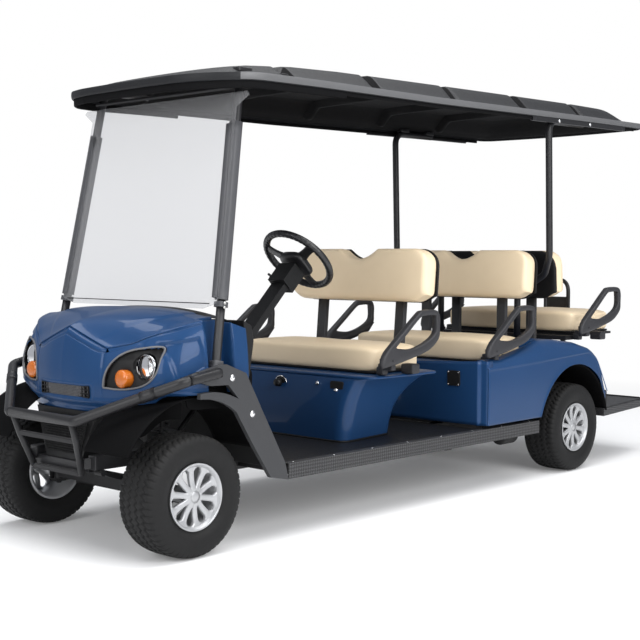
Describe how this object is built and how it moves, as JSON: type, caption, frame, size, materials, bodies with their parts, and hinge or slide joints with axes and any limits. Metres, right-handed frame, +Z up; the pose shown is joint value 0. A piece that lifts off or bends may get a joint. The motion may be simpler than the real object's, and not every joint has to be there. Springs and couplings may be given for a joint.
{
  "type": "golf cart",
  "caption": "Stretched open golf cart with seat rows, a rear-facing bench over a step, a moulded canopy on struts, a clear windscreen and a tubular front guard.",
  "frame": {"origin": "on the ground, below the middle of the overall length and width", "axes": "+X forward, +Y to the driver's left, +Z up"},
  "size_m": [4.2569, 1.246, 2.1508],
  "materials": {
    "blue_paint": "metallic gloss",
    "beige_vinyl": "grained vinyl",
    "black_plastic": "moulded",
    "roof_plastic": "moulded",
    "black_steel": "powder coat",
    "dark_iron": "painted",
    "tyre_rubber": "moulded rubber",
    "wheel_alloy": "machined and painted",
    "clear_screen": "clear",
    "lamp_lens": "clear lens over a reflector",
    "amber_lens": "lens"
  },
  "bodies": {
    "chassis": {"front_cowl": "blue_paint", "front_seat_pod": "blue_paint", "rear_body": "blue_paint", "rear_seat_cushion": "beige_vinyl", "front_seatback": "beige_vinyl", "middle_seatback": "beige_vinyl", "rear_seatback": "beige_vinyl", "seatback_shells": "black_plastic", "headlamp_pockets": "black_plastic", "dashboard": "black_plastic", "lower_fascia": "black_plastic", "floor": "black_plastic", "nose_grille": "black_plastic", "side_braces": "black_plastic", "rocker_panels": "black_plastic", "armrests": "black_plastic", "steering_column": "black_plastic", "rear_step": "black_plastic", "canopy": "roof_plastic", "canopy_struts": "black_steel", "frame_rails": "black_steel", "brush_guard": "black_steel", "seatback_supports": "black_steel", "rear_seat_frame": "black_steel", "grab_hoop": "black_steel", "pedals": "black_steel", "powertrain": "dark_iron", "front_axle": "dark_iron", "rear_axle": "dark_iron", "windscreen": "clear_screen", "headlamps": "lamp_lens", "indicators": "amber_lens"},
    "left_knuckle": {"left_knuckle": "dark_iron"},
    "right_knuckle": {"right_knuckle": "dark_iron"},
    "tie_rod": {"tie_rod": "dark_iron"},
    "steering_wheel": {"steering_wheel": "black_plastic"},
    "front_seat_lid": {"front_seat_cushion": "beige_vinyl"},
    "middle_seat_lid": {"middle_seat_cushion": "beige_vinyl"},
    "front_left_wheel": {"front_left_wheel": "wheel_alloy", "front_left_tyre": "tyre_rubber"},
    "front_right_wheel": {"front_right_wheel": "wheel_alloy", "front_right_tyre": "tyre_rubber"},
    "rear_left_wheel": {"rear_left_wheel": "wheel_alloy", "rear_left_tyre": "tyre_rubber"},
    "rear_right_wheel": {"rear_right_wheel": "wheel_alloy", "rear_right_tyre": "tyre_rubber"}
  },
  "joints": [
    {"name": "left_steer", "type": "hinge", "parent": "chassis", "child": "left_knuckle", "pos_m": [1.7615, 0.37, 0.254], "axis": [0, 0, 1], "range_deg": [-28, 28]},
    {"name": "right_steer", "type": "hinge", "parent": "chassis", "child": "right_knuckle", "pos_m": [1.7615, -0.37, 0.254], "axis": [0, 0, 1], "range_deg": [-28, 28]},
    {"name": "tie_rod_slide", "type": "slide", "parent": "chassis", "child": "tie_rod", "axis": [0, 1, 0], "range_m": [-0.05376, 0.05376]},
    {"name": "steering_wheel_turn", "type": "hinge", "parent": "chassis", "child": "steering_wheel", "pos_m": [0.8505, 0.27, 1.219], "axis": [-0.7039, 0, 0.7103], "range_deg": [-392, 392]},
    {"name": "front_left_wheel_spin", "type": "hinge", "parent": "left_knuckle", "child": "front_left_wheel", "pos_m": [1.7615, 0.49, 0.254], "axis": [0, 1, 0], "continuous": true},
    {"name": "front_right_wheel_spin", "type": "hinge", "parent": "right_knuckle", "child": "front_right_wheel", "pos_m": [1.7615, -0.49, 0.254], "axis": [0, 1, 0], "continuous": true},
    {"name": "rear_left_wheel_spin", "type": "hinge", "parent": "chassis", "child": "rear_left_wheel", "pos_m": [-1.1385, 0.49, 0.254], "axis": [0, 1, 0], "continuous": true},
    {"name": "rear_right_wheel_spin", "type": "hinge", "parent": "chassis", "child": "rear_right_wheel", "pos_m": [-1.1385, -0.49, 0.254], "axis": [0, 1, 0], "continuous": true},
    {"name": "front_seat_lift", "type": "hinge", "parent": "chassis", "child": "front_seat_lid", "pos_m": [0.5265, 0, 0.6643], "axis": [0, 1, 0], "range_deg": [0, 70]},
    {"name": "middle_seat_lift", "type": "hinge", "parent": "chassis", "child": "middle_seat_lid", "pos_m": [-0.3885, 0, 0.6643], "axis": [0, 1, 0], "range_deg": [0, 70]}
  ],
  "couplings": [
    {"joint": "right_steer", "follows": "left_steer", "ratio": 1},
    {"joint": "tie_rod_slide", "follows": "left_steer", "m_per_rad": -0.11},
    {"joint": "steering_wheel_turn", "follows": "left_steer", "ratio": 14}
  ]
}
